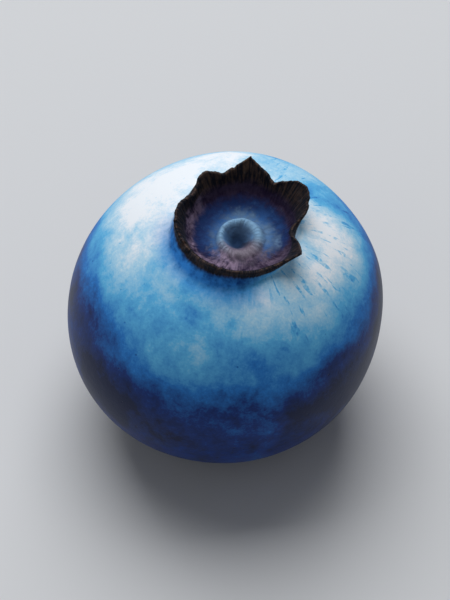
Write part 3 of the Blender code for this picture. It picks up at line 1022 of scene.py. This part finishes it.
    def lay_gloss(self):
        """Bloom is matt and bare skin has a soft shine; dry parts are rough."""
        self.papery = self.band(self.inside + self.dryness, 0.2, 0.8)
        skin = self.band(self.bloom, 0.05, 0.6, BARE_ROUGHNESS, BLOOM_ROUGHNESS)
        rough = skin * (1.0 - self.papery) + self.papery * BLOOM_ROUGHNESS
        rough = rough * (1.0 - self.scar) + self.scar * CORK_ROUGHNESS
        self.feed(self.shader.inputs["Roughness"], rough)

    def lay_relief(self):
        """Relief in millimetres: powder and pores on skin, fibres on the crown, crumbs on the cork."""
        skin = (self.powder - 0.5) * 0.006 + (self.dapple - 0.5) * 0.008 + (self.mottle - 0.5) * 0.012
        skin = skin - self.specks * 0.012
        smooth_floor = self.on_floor * self.inside * 0.75
        dry = (self.fibres - 0.5) * (1.0 - smooth_floor) * 0.1 + (self.crumple - 0.5) * 0.07
        cork = (self.cork_grain - 0.5) * 0.09 - self.fissures * 0.05
        relief = skin * (1.0 - self.papery) + dry * self.papery
        relief = relief * (1.0 - self.scar) + cork * self.scar
        bump = self.node("ShaderNodeBump", {}, {"Strength": 1.0, "Distance": MM, "Height": relief})
        self.feed(self.shader.inputs["Normal"], bump)


def floor_finish(stage):
    """A plain pale matt floor."""
    paint = Paint("floor_paint")
    paint.shader.inputs["Base Color"].default_value = (*stage.floor_colour[:3], 1.0)
    paint.shader.inputs["Roughness"].default_value = 0.9
    return paint.material


def new_object(name, body, finish):
    """A smooth mesh object at the origin, made from a bmesh."""
    mesh = bpy.data.meshes.new(name)
    body.to_mesh(mesh)
    body.free()
    mesh.shade_smooth()
    mesh.materials.append(finish)
    made = bpy.data.objects.new(name, mesh)
    bpy.context.scene.collection.objects.link(made)
    return made


def looking_from(rise, turn, distance, aim):
    """A place and heading that look at aim from this far, this high and this way round."""
    away = Vector((math.sin(turn) * math.cos(rise), -math.cos(turn) * math.cos(rise), math.sin(rise)))
    heading = away.to_track_quat("Z", "Y").to_matrix().to_4x4()
    return Matrix.Translation(aim + away * distance) @ heading


class BLUEBERRY_OT_make_fruit(bpy.types.Operator):
    """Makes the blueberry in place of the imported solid."""

    bl_idname = "blueberry.make_fruit"
    bl_label = "Make the fruit"

    def execute(self, context):
        sizes = context.scene.fruit_sizes
        shape = FruitShape(sizes)
        body = turned_body(shape.outline(), sizes.sides)
        layers = {name: body.verts.layers.float.new(name) for name in MARKS}
        for corner in body.verts:
            corner.co, marks = shape.grown(corner.co.copy())
            for name, layer in layers.items():
                corner[layer] = marks[name]
        keep_inside_solid(body)
        finish = FruitPaint(context.scene.skin_colours, sizes).material
        fruit = new_object("blueberry_fruit", body, finish)
        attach(fruit, "root")
        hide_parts("blueberry")
        return {"FINISHED"}


class BLUEBERRY_OT_set_stage(bpy.types.Operator):
    """Lays the pale floor and sets the soft lights and the camera."""

    bl_idname = "blueberry.set_stage"
    bl_label = "Set the stage"

    def execute(self, context):
        scene = context.scene
        stage = scene.stage_settings
        body = bmesh.new()
        bmesh.ops.create_grid(body, x_segments=2, y_segments=2, size=stage.floor_half_width)
        floor = new_object("floor", body, floor_finish(stage))
        aim = Vector((0.0, 0.0, (SOLID_LOW.z + SOLID_HIGH.z) / 2.0))
        for light, power in zip(LIGHTS, (stage.key_power, stage.fill_power)):
            self.add_light(*light, power, aim)
        world = bpy.data.worlds.new("room")
        world.use_nodes = True
        room = world.node_tree.nodes["Background"]
        room.inputs["Color"].default_value = (*ROOM_TINT, 1.0)
        room.inputs["Strength"].default_value = stage.room_light
        scene.world = world
        scene.view_settings.view_transform = "Standard"
        data = bpy.data.cameras.new("camera")
        data.lens = stage.lens
        data.clip_start = NEAREST_SEEN
        data.clip_end = FURTHEST_SEEN
        camera = bpy.data.objects.new("camera", data)
        camera.matrix_world = looking_from(stage.camera_rise, 0.0, stage.camera_distance, aim)
        scene.collection.objects.link(camera)
        scene.camera = camera
        return {"FINISHED"}

    @staticmethod
    def add_light(name, size, rise, turn, distance, power, aim):
        """One square soft light that faces the fruit; rise and turn are in degrees."""
        data = bpy.data.lights.new(name, "AREA")
        data.shape = "SQUARE"
        data.size = size
        data.energy = power
        light = bpy.data.objects.new(name, data)
        light.matrix_world = looking_from(math.radians(rise), math.radians(turn), distance, aim)
        bpy.context.scene.collection.objects.link(light)


class BLUEBERRY_PT_panel(bpy.types.Panel):
    """Lists the fruit and its stage."""

    bl_label = "Blueberry"
    bl_idname = "BLUEBERRY_PT_panel"
    bl_space_type = "VIEW_3D"
    bl_region_type = "UI"
    bl_category = "Blueberry"

    def draw(self, context):
        layout = self.layout
        for operator in OPERATORS:
            layout.operator(operator.bl_idname)
        scene = context.scene
        for group in (scene.fruit_sizes, scene.skin_colours, scene.stage_settings):
            box = layout.box()
            for name in group.__annotations__:
                box.prop(group, name)


OPERATORS = (BLUEBERRY_OT_make_fruit, BLUEBERRY_OT_set_stage)
CLASSES = (FruitSizes, SkinColours, StageSettings, *OPERATORS, BLUEBERRY_PT_panel)


def register():
    for item in CLASSES:
        bpy.utils.register_class(item)
    bpy.types.Scene.fruit_sizes = PointerProperty(type=FruitSizes)
    bpy.types.Scene.skin_colours = PointerProperty(type=SkinColours)
    bpy.types.Scene.stage_settings = PointerProperty(type=StageSettings)


def unregister():
    del bpy.types.Scene.stage_settings
    del bpy.types.Scene.skin_colours
    del bpy.types.Scene.fruit_sizes
    for item in reversed(CLASSES):
        bpy.utils.unregister_class(item)


def main():
    """Makes the fruit and its stage."""
    register()
    bpy.ops.blueberry.make_fruit()
    bpy.ops.blueberry.set_stage()


if __name__ == "__main__":
    main()
